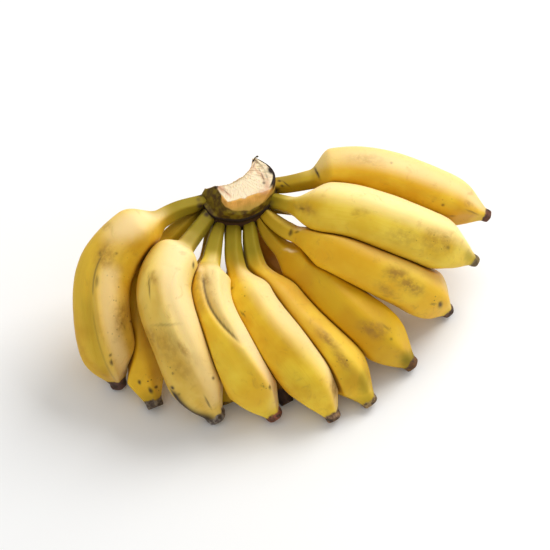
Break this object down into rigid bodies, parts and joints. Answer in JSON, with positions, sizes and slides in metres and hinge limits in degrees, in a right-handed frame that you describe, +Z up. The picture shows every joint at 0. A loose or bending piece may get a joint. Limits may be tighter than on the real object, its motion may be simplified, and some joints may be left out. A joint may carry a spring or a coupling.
{
  "type": "hand of bananas",
  "caption": "Hand of short plump yellow bananas joined at a cut crown, fanned out and standing on their tips with the crown raised.",
  "frame": {"origin": "middle of the hand's bounding box, at the surface that the tips stand on", "axes": "+X to the right end of the fan as the viewer sees it, -Y towards the viewer, +Z up"},
  "size_m": [0.2948, 0.1812, 0.1118],
  "materials": {
    "peel": "satin waxy yellow banana peel, green at the stem and brown at the tip",
    "cut_crown": "dry cream fibrous cut with a dark brown rim"
  },
  "bodies": {
    "root": {"crown": "cut_crown", "finger_right_top": "peel", "finger_right_front": "peel", "finger_right_low": "peel", "finger_mid_right": "peel", "finger_mid_front": "peel", "finger_centre_right": "peel", "finger_centre": "peel", "finger_left_front": "peel", "finger_left_low": "peel", "finger_left_side": "peel", "finger_under_left": "peel", "finger_under_centre": "peel", "finger_under_mid": "peel", "finger_under_right": "peel"}
  },
  "joints": []
}
